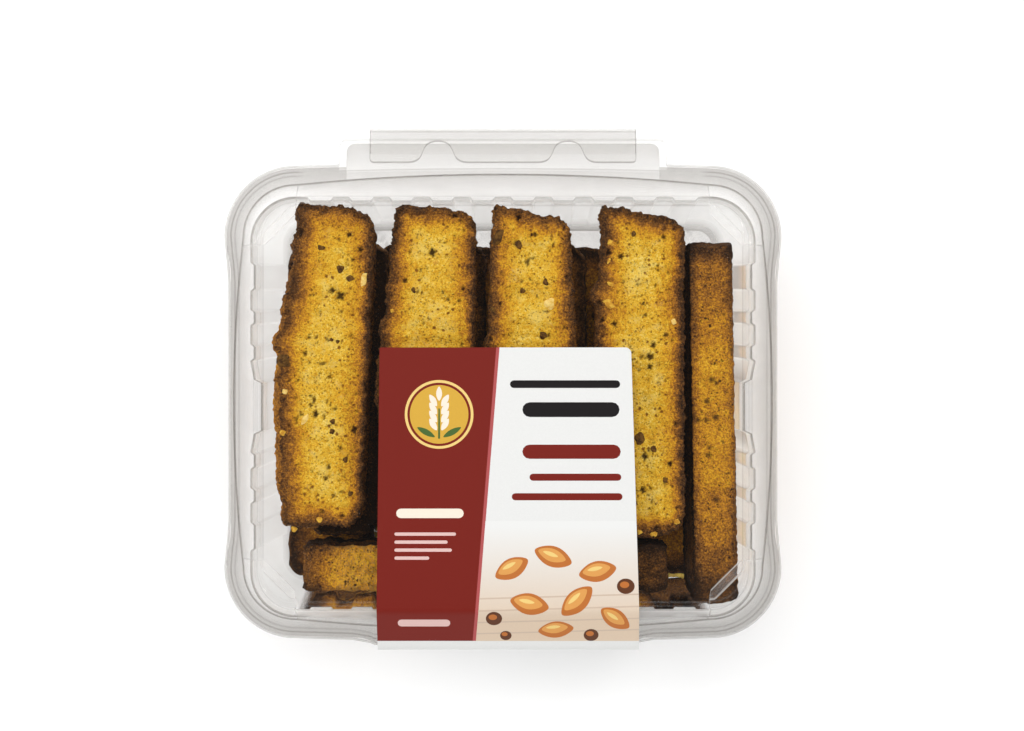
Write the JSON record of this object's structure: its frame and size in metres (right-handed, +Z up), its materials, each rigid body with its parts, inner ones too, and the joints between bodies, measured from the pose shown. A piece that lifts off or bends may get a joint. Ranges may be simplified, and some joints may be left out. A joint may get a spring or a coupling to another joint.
{
  "type": "pack of biscotti",
  "caption": "Closed clear plastic clamshell of biscotti: fluted tray, shallow lid with corner pockets, tear strip at the hinge and a folded paper label over the front.",
  "frame": {"origin": "middle of the pack's footprint, on the surface that it stands on", "axes": "+X to the right along the pack's longer side, +Y towards the hinge and tear strip at the back, +Z up out of the lid; the label folds over the front, which is -Y"},
  "size_m": [0.1908, 0.1783, 0.0587],
  "materials": {
    "clear_plastic": "gloss",
    "label_print": "satin",
    "baked_biscuit": "matte"
  },
  "bodies": {
    "root": {"tray": "clear_plastic", "lid": "clear_plastic", "tear_strip": "clear_plastic", "label": "label_print", "biscuit_top_1": "baked_biscuit", "biscuit_top_2": "baked_biscuit", "biscuit_top_3": "baked_biscuit", "biscuit_top_4": "baked_biscuit", "biscuit_middle_1": "baked_biscuit", "biscuit_middle_2": "baked_biscuit", "biscuit_middle_3": "baked_biscuit", "biscuit_middle_4": "baked_biscuit", "biscuit_bottom_1": "baked_biscuit", "biscuit_bottom_2": "baked_biscuit", "biscuit_bottom_3": "baked_biscuit", "biscuit_bottom_4": "baked_biscuit", "biscuit_bottom_5": "baked_biscuit", "biscuit_side": "baked_biscuit", "biscuit_cross": "baked_biscuit"}
  },
  "joints": []
}
